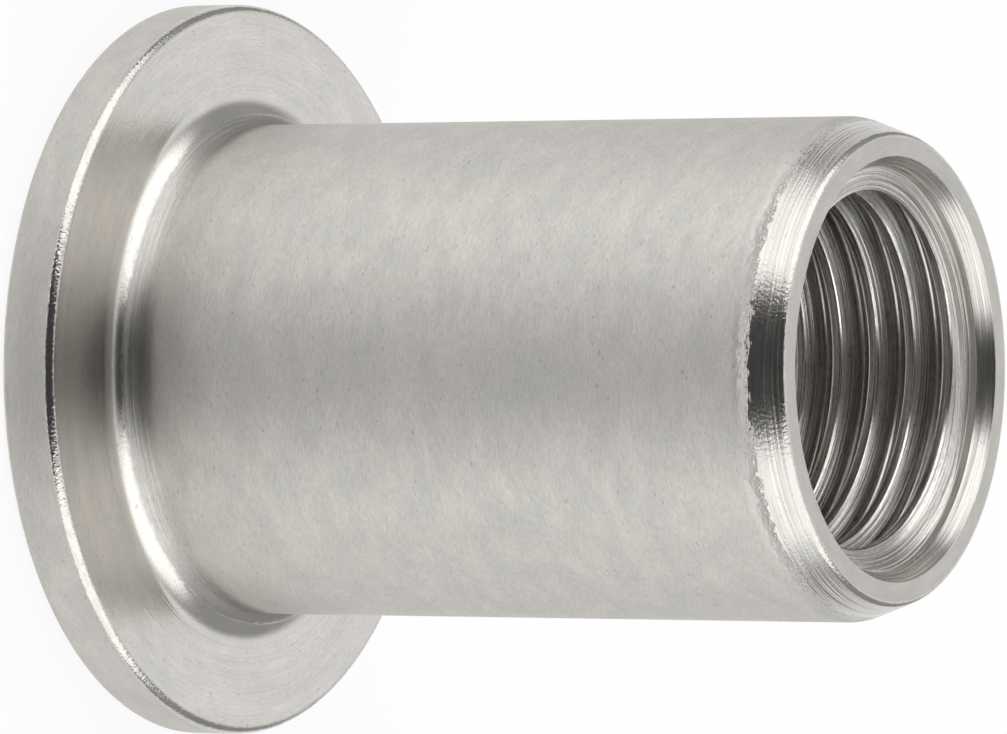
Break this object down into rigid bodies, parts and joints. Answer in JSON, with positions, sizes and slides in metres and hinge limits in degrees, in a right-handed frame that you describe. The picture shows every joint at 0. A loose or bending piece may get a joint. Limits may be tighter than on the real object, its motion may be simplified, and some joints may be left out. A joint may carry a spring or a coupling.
{
  "type": "rivet nut",
  "caption": "Blind rivet nut with a large flat flange, a plain round body with a tapered lead, and a fine internal thread behind a thin-walled fold section.",
  "frame": {"origin": "centre of the flange's outer face, on the nut's axis", "axes": "+Z along the nut's axis, from the flange to the open threaded end; the part is round about Z, so X and Y are free"},
  "size_m": [0.0224, 0.0224, 0.0243],
  "materials": {
    "steel": "satin turned stainless steel, with a brighter tapered lead, mouth and thread"
  },
  "bodies": {
    "root": {"rivet_nut": "steel"}
  },
  "joints": []
}
